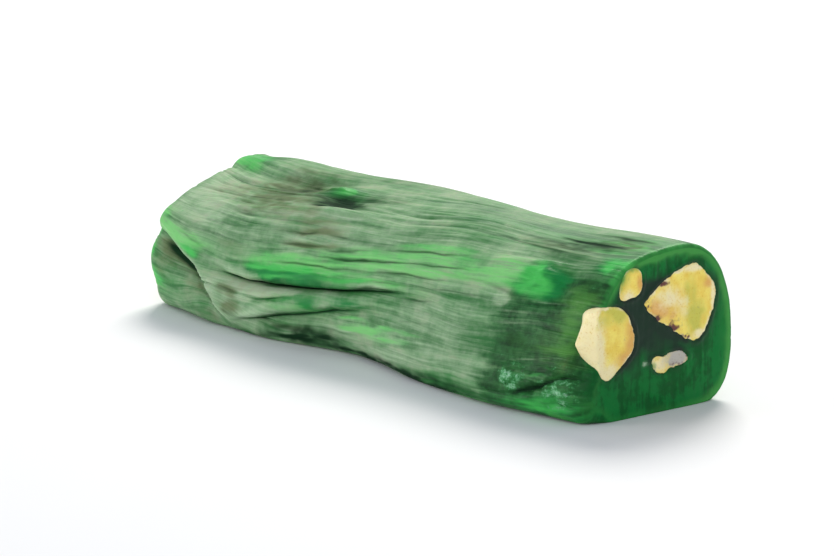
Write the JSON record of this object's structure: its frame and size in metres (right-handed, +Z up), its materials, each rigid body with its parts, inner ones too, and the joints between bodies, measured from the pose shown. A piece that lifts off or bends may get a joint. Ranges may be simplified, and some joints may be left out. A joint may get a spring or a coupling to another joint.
{
  "type": "turkish delight roll",
  "caption": "Long soft stick of pulled green jelly sweet with lengthwise folds, flat underneath, cut across at both ends through embedded pistachio kernels.",
  "frame": {"origin": "on the resting surface, under the middle of the roll's box", "axes": "+X along the roll towards the main cut face, -Y towards the side with the long fold, +Z up"},
  "size_m": [0.1042, 0.0316, 0.0241],
  "materials": {
    "lokum_jelly": "green starch jelly: dusty and matte along the pulled skin, dark, moist and slightly translucent on the knife cuts",
    "pistachio_kernel": "cut pistachio kernel: pale yellow-green flesh with a thin brown-violet skin at the edge"
  },
  "bodies": {
    "root": {"jelly_roll": "lokum_jelly", "pistachio_front": "pistachio_kernel", "pistachio_back": "pistachio_kernel", "pistachio_top": "pistachio_kernel", "pistachio_chip": "pistachio_kernel", "pistachio_far_large": "pistachio_kernel", "pistachio_far_low": "pistachio_kernel", "pistachio_far_top": "pistachio_kernel"}
  },
  "joints": []
}
